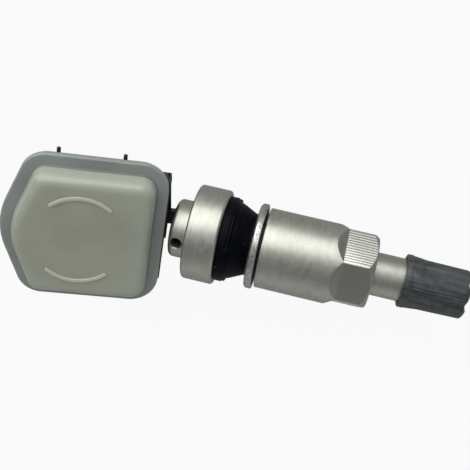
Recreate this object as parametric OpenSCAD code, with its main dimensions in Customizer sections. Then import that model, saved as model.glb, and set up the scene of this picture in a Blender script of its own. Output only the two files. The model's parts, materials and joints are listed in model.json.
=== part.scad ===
// Tyre pressure sensor on a clamp-in metal valve.
// X runs along the valve, outward to the dust cap. Z is up, on the cover's side.
// The origin is on the valve's axis, on the flange face that the wheel's rim seats against.

/* [Valve foot and flange] */
// Radius of the flange that stays inside the rim
flange_r = 8.8; // [8:0.1:9.5]
// Length of the flange along the valve
flange_len = 5.8; // [4:0.1:8]
// Edge rounding of the flange
flange_edge = 0.5; // [0.1:0.1:1]
// Radius of the foot that carries the sensor
foot_r = 5.4; // [4.7:0.1:5.8]
// Length of the foot
foot_len = 3.4; // [3.2:0.1:5]
// Edge rounding of the foot
foot_edge = 0.9; // [0.2:0.1:1.2]
// Depth of the flat under the foot, measured from the valve's axis
flat_drop = 3.65; // [3.4:0.05:4.2]
// Radius of the holding hole in the top of the foot, which is also the air outlet
hold_r = 1.0; // [0.8:0.05:1.15]
// Chamfer of the holding hole
hold_chamfer = 0.25; // [0.1:0.05:0.3]
// Distance of the holding hole from the flange
hold_in = 1.8; // [1.4:0.1:1.9]
// Turn of the holding hole about the valve's axis
hold_turn = -5; // [-20:1:20]

/* [Valve tube] */
// Radius of the tube inside the grommet
neck_r = 4.2; // [4:0.05:4.4]
// Radius of the nut's thread, drawn plain
nut_thread_r = 4.55; // [4.45:0.05:4.9]
// Length of the nut's thread
nut_thread_len = 12.2; // [9:0.1:12.5]
// Radius of the smooth shank between nut and cap
shank_r = 3.93; // [3.9:0.01:4.1]
// Radius of the tip's thread, drawn plain
tip_r = 3.8; // [3.6:0.01:3.85]
// Length of the thread under the cap
tip_thread_len = 8.2; // [6:0.1:8.6]
// Chamfer of the valve's tip
tip_chamfer = 0.5; // [0.3:0.05:0.7]
// Clearance between the shank and the mouths of nut and cap
shank_gap = 0.12; // [0.1:0.01:0.2]
// Radius of the air passage
air_r = 1.2; // [0.8:0.05:1.3]

/* [Grommet and washer] */
// Length of the grommet
grommet_len = 5.7; // [4.5:0.1:8]
// Radius of the grommet's lip
lip_r = 7.85; // [7.2:0.05:7.9]
// Length of the grommet's lip
lip_len = 1.9; // [1:0.1:2.6]
// Edge rounding of the grommet's lip
lip_edge = 0.3; // [0.1:0.05:0.4]
// Radius of the grommet where its cone starts
cone_start_r = 7.1; // [6.4:0.1:7.1]
// Radius of the grommet's outer end
cone_end_r = 5.65; // [5.4:0.05:6]
// Length of the step between lip and cone
step_len = 0.7; // [0.4:0.1:1]
// Outer radius of the washer
washer_r = 7.9; // [7:0.1:9]
// Thickness of the washer
washer_t = 1.4; // [0.8:0.1:2.5]
// Chamfer of the washer on the grommet's side
washer_chamfer = 0.3; // [0.1:0.05:0.35]
// Clearance between the washer and the thread it slides over
washer_gap = 0.25; // [0.15:0.05:0.4]

/* [Nut] */
// Radius of the nut's barrel
barrel_r = 7.4; // [7.4:0.05:8]
// Length of the plain barrel, without its collar
barrel_len = 14.5; // [11:0.1:16]
// Radius of the collar between barrel and washer
collar_r = 6.0; // [5.4:0.1:7]
// Length of the collar
collar_len = 0.45; // [0.2:0.05:1]
// Size of the hexagon across its flats
hex_af = 12.9; // [12:0.1:13]
// Length of the milled hexagon without its run-outs
hex_len = 4.6; // [4:0.1:7]
// Length of the slanted run-outs behind the flats
runout_len = 1.65; // [0.8:0.05:2.5]
// Turn of the hexagon about the valve's axis
hex_turn = 3.3; // [-30:0.1:30]
// Length of the chamfer at the nut's outer end
hex_chamfer = 1.1; // [0.4:0.1:1.6]
// Room inside the nut past the end of the thread
nut_room = 0.6; // [0.4:0.1:1]
// Running clearance of the nut's thread
nut_play = 0.06; // [0.02:0.01:0.1]

/* [Dust cap] */
// Gap between nut and cap, where the shank shows
shank_show = 5.5; // [5:0.1:8]
// Length of the cap
cap_len = 11.6; // [11:0.1:14]
// Radius of the cap's collar
cap_r = 4.85; // [4.7:0.01:5.4]
// Radius of the cap at its closed end
cap_end_r = 4.66; // [4.5:0.01:5]
// Length of the plain collar at the cap's mouth
cap_collar_len = 1.1; // [0.6:0.1:2]
// Step from the collar down to the ribs
cap_step = 0.06; // [0.02:0.02:0.2]
// Rounding of the cap's closed end
cap_round = 1.3; // [0.6:0.1:1.5]
// Radius of the dish in the closed end
dish_r = 1.9; // [1.2:0.1:2.4]
// Depth of the dish in the closed end
dish_deep = 0.25; // [0.1:0.05:0.5]
// Number of ribs round the cap
cap_ribs = 6; // [6:1:8]
// Radius of the hollow faces between the ribs
groove_r = 10; // [6:0.5:20]
// Depth of the hollow faces between the ribs
groove_deep = 0.42; // [0.3:0.02:0.44]
// Turn of the hollow faces about the valve's axis
rib_turn = -2.5; // [-30:0.5:30]
// Radius of the scallops across the closed end
scallop_r = 1.6; // [1:0.1:2]
// Depth of the scallops across the closed end
scallop_deep = 0.65; // [0.3:0.05:0.8]
// Thickness of the cap's closed end
cap_roof = 1.7; // [1.2:0.1:2.2]
// Thickness of the seal inside the cap
cap_seal_t = 0.8; // [0.5:0.1:1.2]
// Length of the wide mouth past the start of the cap's thread
mouth_room = 0.5; // [0.3:0.1:1]
// Running clearance of the cap's thread
cap_play = 0.07; // [0.02:0.01:0.1]

/* [Valve core] */
// Radius of the core's threaded plug
plug_r = 2.6; // [2.5:0.05:2.7]
// Length of the core's threaded plug
plug_len = 5.2; // [4.5:0.1:6.5]
// Depth of the plug below the valve's tip
plug_in = 0.8; // [0.5:0.1:1.5]
// Radius of the core's barrel
core_r = 1.7; // [1.65:0.05:1.75]
// Length of the core's barrel
core_len = 8.9; // [8:0.1:10]
// Radius of the spring room inside the barrel
spring_room_r = 1.25; // [1.2:0.05:1.3]
// Radius of the pin through the core
pin_r = 0.4; // [0.3:0.05:0.45]
// Gap round the pin where the air passes
pin_gap = 0.25; // [0.15:0.05:0.3]
// Radius of the pin's head
pin_head_r = 0.75; // [0.6:0.05:1]
// Length of the pin's head
pin_head_len = 0.7; // [0.5:0.1:1]
// Wall of the plug round its mouth
plug_wall = 0.8; // [0.6:0.05:1]
// Length of the plug's two key flats
key_len = 1.2; // [0.8:0.1:1.6]
// Width of the plug across its key flats
key_af = 4.1; // [3.8:0.1:4.4]
// Radius of the two air holes through the plug
vent_r = 0.22; // [0.15:0.01:0.25]
// Stroke of the pin when it is pressed
pin_stroke = 1.0; // [0.6:0.1:1]
// Turns of the return spring
spring_turns = 7; // [5:1:9]
// Radius of the return spring's wire
spring_wire_r = 0.13; // [0.1:0.01:0.16]

/* [Sensor case] */
// Tilt of the case against the valve
tilt = 16; // [8:1:22]
// Distance along the case from its front edge to the flange
front_gap = 5.46; // [5.2:0.02:7]
// Drop of the valve's axis below the cover's flange, at the valve's flange
axis_drop = 3.85; // [3.6:0.05:4.4]
// Width of the case
case_w = 27.6; // [26:0.2:34]
// Length of the case
case_len = 28.5; // [27.5:0.1:34]
// Lean of the case's two back edges
back_lean = 21.5; // [15:0.5:25]
// Corner radius at the front of the case
front_corner = 5; // [4.6:0.1:7]
// Corner radius at the back of the case
back_corner = 4.6; // [4.6:0.1:6]
// Radius of the case's blunt nose
nose_corner = 13; // [8:0.5:13.5]
// Wall of the case
case_wall = 1.3; // [1:0.1:1.5]

/* [Cover] */
// Thickness of the cover's flange
flange_t = 1.2; // [0.8:0.1:1.8]
// Width of the cover's flange
flange_w = 2.1; // [1.8:0.1:2.1]
// Height of the plateau above the flange
plateau_h = 4.0; // [3.9:0.1:6]
// Draft of the plateau's sides, at their top
plateau_draft = 0.2; // [0:0.05:0.3]
// Rounding of the plateau's upper edge
plateau_round = 2.0; // [1:0.1:2.1]
// Wall of the cover
cover_wall = 1.2; // [0.8:0.1:1.4]
// How far outside the coin cell's edge the two raised arcs run
arc_out = 0.05; // [-0.5:0.05:0.5]
// Width of the raised arcs
arc_w = 0.8; // [0.5:0.1:1.2]
// Height of the raised arcs
arc_h = 0.25; // [0.1:0.05:0.5]
// Half the angle that each arc spans
arc_half = 38; // [20:1:60]

/* [Tray] */
// How far the tray's rim lies inside the cover's edge
rim_in = 0.45; // [0.1:0.05:0.5]
// Thickness of the tray's rim
rim_t = 1.2; // [1.2:0.1:2]
// Depth of the tray below the cover's flange, from its upper face
tray_deep = 9.4; // [9.2:0.1:10.2]
// How far the belly of the tray lies inside the case's outline
belly_in = 2.6; // [2.4:0.1:3]
// Rounding of the belly's lower edge
belly_round = 5; // [4:0.1:5]
// Distance of the front wall's face past the cover's front edge
wall_out = 0.15; // [0.1:0.05:0.6]
// Width of the front wall
wall_w = 19.2; // [14:0.2:20]
// Depth of the front wall's lower edge
wall_deep = 7.0; // [6:0.1:8]
// How far the ears at the wall's two ends stand out past its face
ear_out = 0.35; // [0.2:0.05:0.6]
// Width of the ears
ear_w = 1.5; // [0.8:0.1:2.5]
// Height of the ears
ear_h = 2.5; // [1.5:0.1:4]
// Distance of the tongue's root past the cover's front edge
root_out = 0.95; // [0.8:0.05:1.2]
// Width of the tongue's root
root_w = 7; // [5:0.2:10]
// Thickness of the tongue under the foot
tongue_t = 1.4; // [1.2:0.1:2]
// Width of the tongue's neck
neck_w = 2.6; // [2:0.1:4]
// Width of the tongue under the foot
tongue_w = 4.8; // [4.2:0.1:6]
// Radius of the two lugs on each side of the rim
lug_r = 0.35; // [0.3:0.05:0.8]
// How far the lugs stand out past the case
lug_out = 0.45; // [0.1:0.05:0.8]
// Shift of the lugs' middle from the middle of the case, toward the valve
lug_shift = 0.55; // [0:0.05:1.5]
// Distance of the lugs from their middle
lug_span = 5.65; // [3:0.05:7]
// Width of the gasket between tray and cover
gasket_w = 1.0; // [0.6:0.1:1]
// Thickness of the gasket
gasket_t = 0.6; // [0.4:0.1:0.8]
// Height of the tongue's root
root_rise = 3; // [2:0.1:4]
// How far the tongue's root reaches below the floor
root_sink = 0.2; // [0.1:0.05:0.4]
// Gap between the end of the foot and the bend of the tongue
bend_gap = 0.3; // [0.2:0.05:0.5]
// Gap between the tongue and the valve's flange
flange_gap = 0.15; // [0.1:0.05:0.3]
// Radius of the pressure port in the floor
port_r = 0.6; // [0.4:0.05:1]

/* [Electronics] */
// Thickness of the circuit board
board_t = 1.0; // [0.8:0.1:1.2]
// Room between the coin cell and the cover's inner wall, at the front and back
cell_room = 2.75; // [2.7:0.05:4]
// Room between the coin cell and the cover's inner wall, at the sides
cell_side = 2.3; // [2:0.05:4]
// Shift of the coin cell toward the nose
cell_shift = 0.45; // [0.3:0.05:0.8]
// Thickness of the coin cell
cell_t = 3.2; // [2:0.1:3.2]
// Thickness of the cell's welded tabs
tab_t = 0.2; // [0.1:0.05:0.2]
// Width of the cell's tabs
tab_w = 3; // [2:0.1:4]
// Overlap of the upper tab past the cell's centre
tab_lap = 2; // [1:0.1:3]
// Width of the pressure sensor
sensor_w = 5; // [4:0.1:6]
// Height of the pressure sensor
sensor_t = 2.4; // [1.6:0.1:3]
// Length of the radio chip along the case
chip_len = 4; // [3:0.1:4.4]
// Width of the radio chip
chip_w = 5; // [3:0.1:6]
// Height of the radio chip
chip_t = 0.9; // [0.6:0.1:1.5]
// Gap between the parts under the board
part_gap = 0.9; // [0.7:0.05:1]
// Length of the crystal's can
crystal_len = 3.2; // [2:0.1:4]
// Width of the crystal's can
crystal_w = 2.5; // [1.6:0.1:3]
// Length of a capacitor
capacitor_len = 1.6; // [1:0.1:2]
// Width and height of a capacitor
capacitor_w = 0.8; // [0.5:0.1:0.8]
// Distance from one capacitor to the next
capacitor_step = 1.2; // [1.1:0.05:1.2]
// Length of the wake-up coil
coil_len = 8; // [5:0.5:12]
// Width of the wake-up coil
coil_w = 1.9; // [1.2:0.1:2]
// Thickness of the coil's two end flanges
coil_end = 1; // [0.6:0.1:1.4]
// Gap between the coil and the upper tab
coil_gap = 0.4; // [0.3:0.05:0.5]
// Length of the aerial's loop
aerial_len = 10.8; // [8:0.2:12]
// Drop of the aerial's loop below the board
aerial_drop = 2.2; // [1.4:0.1:2.6]
// Distance of the aerial from the tray's inner wall at the nose
aerial_back = 3.7; // [3.4:0.1:4.5]
// Radius of the aerial's wire
aerial_r = 0.4; // [0.25:0.05:0.6]

/* [Mounting screw] */
// Radius of the screw's shank
screw_r = 1.0; // [0.8:0.05:1]
// Radius of the screw's head
screw_head_r = 1.9; // [1.7:0.05:1.95]
// Height of the screw's head
screw_head_t = 1.2; // [0.8:0.1:1.5]
// Across the points of the screw's six-pointed socket
socket_w = 1.8; // [1.4:0.1:2]
// Depth of the screw's socket
socket_deep = 0.8; // [0.5:0.1:1]
// Room past the end of the screw in the foot
screw_room = 0.15; // [0.1:0.05:0.2]
// Length of the screw's shank
screw_len = 3.2; // [2.8:0.1:3.3]

/* [Hidden] */

$fn = 64;
thin = 0.01;
corner_steps = 10;
root_from = -24;
dish_from = 8;
past = 1;
bond = 0.02;
slip = 0.05;
edge = 0.2;
lead = 0.3;

foot_x = -flange_len - foot_len;
hold_x = -flange_len - hold_in;
washer_x = grommet_len;
nut_x = washer_x + washer_t;
barrel_x = nut_x + collar_len;
runout_x = barrel_x + barrel_len - runout_len;
hex_x = runout_x + runout_len;
nut_end = hex_x + hex_len + hex_chamfer;
cap_x = nut_end + shank_show;
cap_end = cap_x + cap_len;
seal_x = cap_end - cap_roof - cap_seal_t;
tip_x = seal_x;
tip_thread_x = tip_x - tip_thread_len;
nut_thread_x = washer_x + edge;
nut_thread_end = nut_thread_x + nut_thread_len;
nut_bore_end = nut_thread_end + nut_room;
cap_mouth_len = tip_thread_x - cap_x + mouth_room;

plug_end = tip_x - plug_in;
plug_x = plug_end - plug_len;
core_x = plug_x - core_len;
seat_end = plug_x - 2 * edge;
seat_len = 1.4;
gasket_len = 1.4;
chamber_r = core_r + edge;
chamber_x = core_x - 3.5;
mouth_r = plug_r + slip;
guide_x = plug_x - edge;
collar_t = 0.4;
pin_collar_r = spring_room_r - 2 * slip;
spring_end = guide_x - collar_t;
spring_r = (pin_r + spring_room_r) / 2;
cup_t = 1.0;
cup_seal_t = 0.3;
rivet_t = 0.3;
cup_r = core_r - edge;
spring_x = core_x + cup_t - 2 * slip;
guide_len = 3.2;

case_half = case_w / 2;
body_x = -flange_len - front_gap * cos(tilt) + axis_drop * sin(tilt);
body_z = front_gap * sin(tilt) + axis_drop * cos(tilt);
seam_z = -flange_t;
rim_z = seam_z - rim_t;
belly_flat_z = -tray_deep + belly_round;
floor_z = -tray_deep + case_wall;
cavity_round = belly_round - case_wall;
inner_round = 0.8;
roof_z = plateau_h - cover_wall;
plateau_in = flange_w + cover_wall + plateau_draft;
board_z = seam_z - board_t;
pocket_in = belly_in + 0.4;
gasket_in = 0.9;
tab_z = seam_z + tab_t;
cell_top = tab_z + cell_t;
cell_r = min(case_len / 2 - cell_room, case_w / 2 - cell_side) - plateau_in;
cell_at = -case_len / 2 - cell_shift;
arc_r = cell_r + arc_out;
chip_x = cell_at + sensor_w / 2 + part_gap;
lug_mid = -case_len / 2 + lug_shift;
screw_x = -flange_len - screw_head_r - flange_gap;
tongue_end = -flange_len - flange_gap;
tongue_z = -flat_drop - tongue_t;

// Corners of the five-sided outline, set in by a distance: [x, y, radius, first angle, last angle]
function outline(inset, front_r, back_r, nose_r) =
    let (half = case_half - inset,
         nose_x = -case_len + inset + nose_r,
         back_x = nose_x - (nose_r - back_r) / cos(back_lean) + tan(back_lean) * (half - back_r),
         front_x = -inset - front_r)
    [[front_x, half - front_r, front_r, 0, 90],
     [back_x, half - back_r, back_r, 90, 180 - back_lean],
     [nose_x, 0, nose_r, 180 - back_lean, 180 + back_lean],
     [back_x, back_r - half, back_r, 180 + back_lean, 270],
     [front_x, front_r - half, front_r, 270, 360]];

case_outline = outline(0, front_corner, back_corner, nose_corner);
belly_outline = outline(belly_in, belly_round + 0.4, belly_round + 0.3, nose_corner - 1);

// Levels of a rounded edge: [height, inset] pairs from the side up over a quarter circle
function rounding(z, inset, r, way, steps = 5) =
    [for (k = [0:steps]) [z + way * r * sin(90 * k / steps), inset + r * (1 - cos(90 * k / steps))]];

function reversed(list) = [for (k = [len(list) - 1:-1:0]) list[k]];

// One closed ring of points round an outline, set in by a further distance
function ring(corners, z, inset) =
    [for (c = corners, k = [0:corner_steps])
        let (a = c[3] + (c[4] - c[3]) * k / corner_steps, r = c[2] - inset)
        [c[0] + r * cos(a), c[1] + r * sin(a), z]];

// A body through levels of one outline, each [height, inset], from the lowest up
module loft(corners, levels) {
    n = len(corners) * (corner_steps + 1);
    top = len(levels) - 1;
    points = [for (level = levels) each ring(corners, level[0], level[1])];
    walls = [for (k = [0:top - 1], j = [0:n - 1])
        let (m = (j + 1) % n) [k * n + j, k * n + n + j, k * n + n + m, k * n + m]];
    ends = [[for (j = [0:n - 1]) j], [for (j = [n - 1:-1:0]) top * n + j]];
    polyhedron(points, concat(ends, walls));
}

module on_body() translate([body_x, 0, body_z]) rotate([0, tilt, 0]) children();

// Turns a profile of [distance along the valve, radius] points round the valve's axis
module turned(points, around = 96) rotate([0, 90, 0])
    rotate_extrude($fn = around) polygon([for (p = points) [p[1], p[0]]]);

module rod_x(from, to, r, sides = 64) translate([from, 0, 0]) rotate([0, 90, 0])
    cylinder(r = r, h = to - from, $fn = sides);

// Quarter circle of profile points about a centre, from one angle to another
function arc(x, y, r, from, to, steps = 4) =
    [for (k = [0:steps]) let (a = from + (to - from) * k / steps) [x + r * cos(a), y + r * sin(a)]];

module valve_stem() color([0.78, 0.79, 0.74]) difference() {
    turned(concat(
        [[foot_x, 0]],
        arc(foot_x + foot_edge, foot_r - foot_edge, foot_edge, 180, 90),
        [[-flange_len, foot_r]],
        arc(-flange_len + flange_edge, flange_r - flange_edge, flange_edge, 180, 90),
        arc(-flange_edge, flange_r - flange_edge, flange_edge, 90, 0),
        [[0, neck_r], [nut_thread_x, neck_r], [nut_thread_x + nut_thread_r - neck_r, nut_thread_r],
         [nut_thread_end - nut_thread_r + shank_r, nut_thread_r], [nut_thread_end, shank_r],
         [tip_thread_x - lead, shank_r], [tip_thread_x, tip_r],
         [tip_x - tip_chamfer, tip_r], [tip_x, tip_r - tip_chamfer], [tip_x, 0]]));
    turned([[hold_x, 0], [hold_x, air_r], [chamber_x, air_r], [chamber_x + chamber_r - air_r, chamber_r],
            [seat_end - seat_len, chamber_r], [seat_end, mouth_r], [tip_x - lead, mouth_r],
            [tip_x + past, mouth_r + lead + past], [tip_x + past, 0]]);
    translate([hold_x, 0, 0]) rotate([-hold_turn, 0, 0]) {
        translate([0, 0, -air_r * 0.5]) cylinder(r = hold_r, h = foot_r + past, $fn = 48);
        translate([0, 0, foot_r - hold_chamfer])
            cylinder(r1 = hold_r, r2 = hold_r + hold_chamfer + past, h = hold_chamfer + past, $fn = 48);
    }
    translate([foot_x - past, -foot_r, -flat_drop - foot_r])
        cube([foot_len + past - flange_gap / 2, 2 * foot_r, foot_r]);
    translate([screw_x, 0, -flat_drop - past])
        cylinder(r = screw_r + bond, h = past + screw_len - tongue_t + screw_room, $fn = 32);
}

module grommet() color([0.06, 0.06, 0.08]) turned([
    [0, neck_r + bond], [0, lip_r - lip_edge / 2], [lip_edge / 2, lip_r], [lip_len - lip_edge, lip_r],
    [lip_len, lip_r - lip_edge], [lip_len + lip_edge / 3, cone_start_r],
    [lip_len + step_len, cone_start_r - lip_edge / 2], [grommet_len - lip_edge, cone_end_r + lip_edge / 6],
    [grommet_len, cone_end_r], [grommet_len, neck_r + bond + lip_edge],
    [grommet_len - lip_edge, neck_r + bond]]);

module washer() color([0.82, 0.82, 0.80]) let (bore = nut_thread_r + washer_gap, rim = edge / 2) turned([
    [washer_x, bore + rim], [washer_x, washer_r - 1.5 * washer_chamfer],
    [washer_x + washer_chamfer, washer_r], [nut_x - edge, washer_r], [nut_x, washer_r - edge],
    [nut_x, bore + rim], [nut_x - rim, bore], [washer_x + rim, bore]]);

// One flat of the hexagon with its slanted run-out into the round barrel
module milled_flat() {
    deep = barrel_r - hex_af / 2;
    rise = deep + past;
    rotate([90, 0, 0]) translate([0, 0, -barrel_r]) linear_extrude(2 * barrel_r)
        polygon([[hex_x, hex_af / 2], [nut_end + past, hex_af / 2],
                 [nut_end + past, barrel_r + past],
                 [hex_x - runout_len * rise / deep, hex_af / 2 + rise]]);
}

module nut() color([0.76, 0.76, 0.70]) difference() {
    bore = nut_thread_r + nut_play;
    mouth = shank_r + shank_gap;
    turned([[nut_x, 0], [nut_x, collar_r], [barrel_x, collar_r], [barrel_x, barrel_r - edge],
            [barrel_x + edge, barrel_r], [nut_end - hex_chamfer, barrel_r],
            [nut_end, barrel_r - hex_chamfer], [nut_end, 0]], 128);
    for (k = [0:5]) rotate([-hex_turn - 60 * k, 0, 0]) milled_flat();
    turned([[nut_x - past, 0], [nut_x - past, bore + lead + past], [nut_x + lead, bore],
            [nut_bore_end, bore], [nut_bore_end + bore - mouth, mouth], [nut_end - lead, mouth],
            [nut_end + past, mouth + lead + past], [nut_end + past, 0]], 64);
}

module cap() color([0.23, 0.25, 0.26]) difference() {
    turned(concat(
        [[cap_x, 0], [cap_x, cap_r - edge], [cap_x + edge, cap_r], [cap_x + cap_collar_len, cap_r],
         [cap_x + cap_collar_len + cap_step, cap_r - cap_step]],
        arc(cap_end - cap_round, cap_end_r - cap_round, cap_round, 90, dish_from, 5),
        [[cap_end, cap_end_r - cap_round - dish_deep], [cap_end - dish_deep, dish_r],
         [cap_end - dish_deep, 0]]));
    for (k = [0:cap_ribs - 1]) rotate([-rib_turn - 360 * k / cap_ribs, 0, 0]) {
        translate([cap_x + cap_collar_len, 0, cap_r + groove_r - groove_deep])
            rotate([0, 90 + atan((cap_r - cap_end_r) / cap_len), 0])
                cylinder(r = groove_r, h = cap_len, $fn = 96);
        translate([cap_end + scallop_r - scallop_deep, 0, dish_r - edge])
            cylinder(r = scallop_r, h = cap_r, $fn = 48);
    }
    rod_x(cap_x - past, cap_x + cap_mouth_len, shank_r + shank_gap);
    rod_x(cap_x, cap_end - cap_roof, tip_r + cap_play);
}

module cap_seal() color([0.55, 0.16, 0.12]) turned([
    [seal_x, 0], [seal_x, tip_r - edge / 2], [seal_x + edge / 2, tip_r], [seal_x + cap_seal_t, tip_r],
    [seal_x + cap_seal_t, 0]]);

module core_body() color([0.72, 0.58, 0.28]) difference() {
    turned([[core_x, 0], [core_x, core_r - edge], [core_x + edge, core_r], [plug_x, core_r],
            [plug_x, plug_r], [plug_end - edge, plug_r], [plug_end, plug_r - edge], [plug_end, 0]]);
    rod_x(core_x - past, spring_x + thin, pin_r + pin_gap, 32);
    rod_x(spring_x, guide_x, spring_room_r, 48);
    rod_x(guide_x - thin, plug_end, pin_r + slip, 32);
    rod_x(guide_x + guide_len, plug_end + past, plug_r - plug_wall, 48);
    for (way = [-1, 1]) {
        translate([plug_end - key_len, way * (key_af + plug_r) / 2 - plug_r / 2, -plug_r])
            cube([key_len + past, plug_r, 2 * plug_r]);
        translate([guide_x - thin, 0, way * (pin_r + 2 * pin_gap)]) rotate([0, 90, 0])
            cylinder(r = vent_r, h = guide_len + past, $fn = 24);
    }
}

module core_gasket() color([0.75, 0.20, 0.15]) let (
    far = plug_x - gasket_len,
    slope = (mouth_r - chamber_r) / seat_len,
    far_r = chamber_r + slope * (far - seat_end + seat_len) - slip,
    wide_r = mouth_r - 2 * slip)
    turned([[far, core_r + bond], [far, max(far_r, core_r + 2 * slip)], [seat_end - slip, wide_r],
            [plug_x, wide_r], [plug_x, core_r + bond]]);

module core_pin() color([0.75, 0.62, 0.32]) let (
    cup_x = core_x - cup_seal_t - cup_t,
    head_end = plug_end - edge,
    head_x = head_end - pin_head_len)
    turned([[cup_x - rivet_t, 0], [cup_x - rivet_t, pin_r + edge], [cup_x, pin_r + 1.5 * edge],
            [cup_x, pin_r], [spring_end, pin_r], [spring_end, pin_collar_r], [guide_x, pin_collar_r],
            [guide_x, pin_r], [head_x, pin_r], [head_x, pin_head_r], [head_end - edge, pin_head_r],
            [head_end, pin_head_r - edge], [head_end, 0]], 48);

// Return spring as rings of a tube along a helix
module core_spring() color([0.70, 0.71, 0.72]) {
    per_turn = 14;
    sides = 6;
    steps = spring_turns * per_turn;
    run = spring_end - spring_x - 2 * spring_wire_r;
    points = [for (k = [0:steps], j = [0:sides - 1])
        let (a = 360 * k / per_turn, b = 360 * j / sides, r = spring_r + spring_wire_r * cos(b))
        [spring_x + spring_wire_r * (1 + sin(b)) + run * k / steps, r * cos(a), r * sin(a)]];
    walls = [for (k = [0:steps - 1], j = [0:sides - 1])
        let (n = (j + 1) % sides, p = k * sides)
        each [[p + j, p + n, p + sides + n], [p + j, p + sides + n, p + sides + j]]];
    ends = [[for (j = [sides - 1:-1:0]) j], [for (j = [0:sides - 1]) steps * sides + j]];
    polyhedron(points, concat(walls, ends));
}

module core_cup() color([0.72, 0.58, 0.28]) let (cup_x = core_x - cup_seal_t - cup_t) turned([
    [cup_x, pin_r + bond], [cup_x, cup_r - rivet_t], [cup_x + rivet_t, cup_r],
    [cup_x + cup_t, cup_r], [cup_x + cup_t, pin_r + bond]], 48);

module cup_seal() color([0.10, 0.10, 0.10]) turned([
    [core_x - cup_seal_t, pin_r + bond], [core_x - cup_seal_t, cup_r - edge / 2],
    [core_x, cup_r - edge / 2], [core_x, pin_r + bond]], 48);

// Root of the tongue under the front of the belly, as a side view across the case
module tongue_root() {
    step_z = -tray_deep + root_rise;
    rotate([90, 0, 0]) translate([0, 0, -root_w / 2]) linear_extrude(root_w) polygon(concat(
        [[-belly_in - belly_round, -tray_deep], [root_out, -tray_deep - root_sink], [root_out, step_z]],
        arc(-belly_in - belly_round, belly_flat_z, belly_round - case_wall / 2, root_from, -90, 6)));
}

// Place of a point of the case's side view, in the valve's own frame
function on_row(x, z) = [body_x + x * cos(tilt) + z * sin(tilt), body_z - x * sin(tilt) + z * cos(tilt)];

module housing() color([0.07, 0.07, 0.07]) {
    wall_root = belly_in + 0.75 * case_wall;
    difference() {
        union() {
            on_body() {
                loft(case_outline, [[rim_z, rim_in], [seam_z, rim_in]]);
                loft(belly_outline, concat(
                    reversed(rounding(belly_flat_z, 0, belly_round, -1)), [[rim_z + rim_t / 2, 0]]));
                for (side = [-1, 1], at = [-1, 1])
                    translate([lug_mid + at * lug_span, side * (case_half - rim_in - edge), rim_z])
                        rotate([-side * 90, 0, 0]) cylinder(r = lug_r, h = rim_in + edge + lug_out, $fn = 24);
                translate([-wall_root, -wall_w / 2, -wall_deep])
                    cube([wall_root + wall_out, wall_w, wall_deep + rim_z + rim_t / 2]);
                for (side = [-1, 1])
                    translate([-edge, side * (wall_w - ear_w) / 2 - ear_w / 2, -wall_deep])
                        cube([edge + wall_out + ear_out, ear_w, ear_h]);
                tongue_root();
            }
            low = on_row(root_out - slip, -tray_deep - root_sink + slip);
            high = on_row(root_out - slip, -tray_deep - root_sink + tongue_t);
            bend_x = foot_x - bend_gap;
            rotate([90, 0, 0]) translate([0, 0, -neck_w / 2]) linear_extrude(neck_w)
                polygon([low, [bend_x - root_sink, tongue_z], [tongue_end, tongue_z],
                         [tongue_end, -flat_drop], [bend_x, -flat_drop], high]);
            translate([foot_x - bend_gap / 2, -tongue_w / 2, tongue_z])
                cube([tongue_end - foot_x + bend_gap / 2, tongue_w, tongue_t]);
        }
        on_body() {
            loft(belly_outline, concat(
                reversed(rounding(belly_flat_z, case_wall, cavity_round, -1)),
                [[seam_z + past, case_wall]]));
            loft(belly_outline, [[board_z, pocket_in - belly_in], [seam_z + past, pocket_in - belly_in]]);
            difference() {
                loft(case_outline, [[seam_z - gasket_t, gasket_in], [seam_z + past, gasket_in]]);
                loft(case_outline, [[seam_z - gasket_t - past, gasket_in + gasket_w],
                                    [seam_z + 2 * past, gasket_in + gasket_w]]);
            }
            translate([cell_at, 0, -tray_deep - past]) {
                cylinder(r = port_r, h = case_wall + 2 * past, $fn = 32);
                cylinder(r = 3 * port_r, h = past + case_wall / 3, $fn = 48);
            }
        }
        translate([screw_x, 0, tongue_z - past])
            cylinder(r = screw_r + slip, h = tongue_t + 2 * past, $fn = 32);
    }
}

// One raised arc on the cover, with round ends
module cover_arc(middle) translate([cell_at, 0, plateau_h - edge]) {
    shoulder = edge + arc_h / 2;
    rotate([0, 0, middle - arc_half]) rotate_extrude(angle = 2 * arc_half, $fn = 96)
        polygon([[arc_r - arc_w / 2, 0], [arc_r + arc_w / 2, 0], [arc_r + arc_w / 2, shoulder],
                 [arc_r + arc_w / 4, edge + arc_h], [arc_r - arc_w / 4, edge + arc_h],
                 [arc_r - arc_w / 2, shoulder]]);
    for (end = [-1, 1]) rotate([0, 0, middle + end * arc_half]) translate([arc_r, 0, 0]) {
        cylinder(r = arc_w / 2, h = shoulder, $fn = 24);
        translate([0, 0, shoulder]) cylinder(r1 = arc_w / 2, r2 = arc_w / 4, h = arc_h / 2, $fn = 24);
    }
}

module cover() color([0.62, 0.65, 0.58]) on_body() {
    side_top = plateau_h - plateau_round;
    difference() {
        union() {
            loft(case_outline, [[seam_z, 0], [-edge, 0], [0, edge]]);
            loft(case_outline, concat([[seam_z / 2, flange_w]],
                rounding(side_top, flange_w + plateau_draft, plateau_round, 1)));
        }
        loft(case_outline, concat([[seam_z - past, flange_w + cover_wall]],
            rounding(roof_z - inner_round, plateau_in, inner_round, 1, 3)));
    }
    cover_arc(90);
    cover_arc(-90);
}

module cover_seal() color([0.12, 0.12, 0.12]) on_body() difference() {
    loft(case_outline, [[seam_z - gasket_t, gasket_in + bond], [seam_z, gasket_in + bond]]);
    loft(case_outline, [[seam_z - gasket_t - past, gasket_in + gasket_w - bond],
                        [seam_z + past, gasket_in + gasket_w - bond]]);
}

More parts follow.
